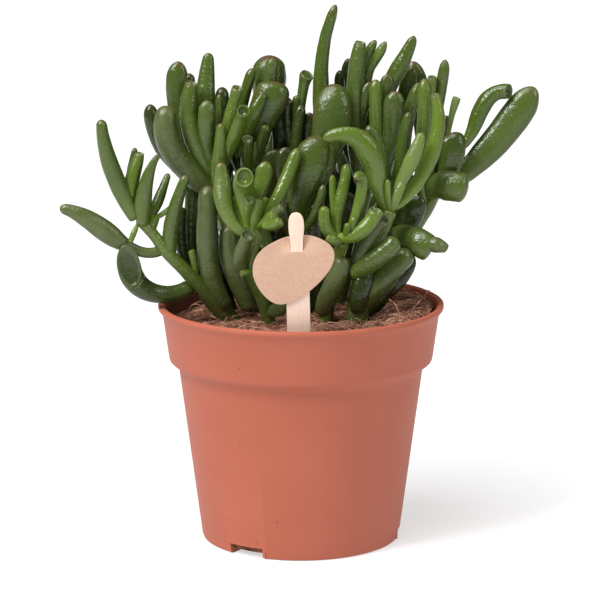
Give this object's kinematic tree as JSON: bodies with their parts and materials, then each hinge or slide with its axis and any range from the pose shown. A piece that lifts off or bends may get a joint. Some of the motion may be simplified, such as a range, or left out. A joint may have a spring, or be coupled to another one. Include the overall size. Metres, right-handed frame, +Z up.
{
  "type": "potted hobbit jade succulent",
  "caption": "Potted hobbit jade succulent: dense finger, spoon and cup shaped leaves on short stems, in a round terracotta coloured pot of coir soil, with a blank card on a flat wooden stick.",
  "frame": {"origin": "on the pot's axis, on the plane that the pot stands on", "axes": "+Z up; -Y towards the side with the card, from which it is looked at"},
  "size_m": [0.1995, 0.122, 0.2243],
  "materials": {
    "terracotta_plastic": "satin terracotta coloured plastic",
    "coir_soil": "dull reddish-brown coir fibre soil",
    "stick_wood": "plain pale sanded wood",
    "kraft_card": "matte uncoated beige card",
    "leaf_grey_green": "waxy leaf with a grey bloom and fine pale dots",
    "leaf_light": "glossy young leaf, yellow-green towards its root",
    "leaf_deep": "glossy deep green leaf with fine pale dots"
  },
  "bodies": {
    "root": {"pot": "terracotta_plastic", "soil": "coir_soil", "stick": "stick_wood", "card": "kraft_card", "stem_left": "leaf_grey_green", "stem_front_left": "leaf_light", "stem_back_left": "leaf_grey_green", "stem_middle_left": "leaf_deep", "stem_middle": "leaf_deep", "stem_back_right": "leaf_deep", "stem_front_right": "leaf_light", "stem_right": "leaf_light", "stem_far_right": "leaf_deep", "stem_rear_left": "leaf_deep", "stem_rear_right": "leaf_deep"}
  },
  "joints": []
}
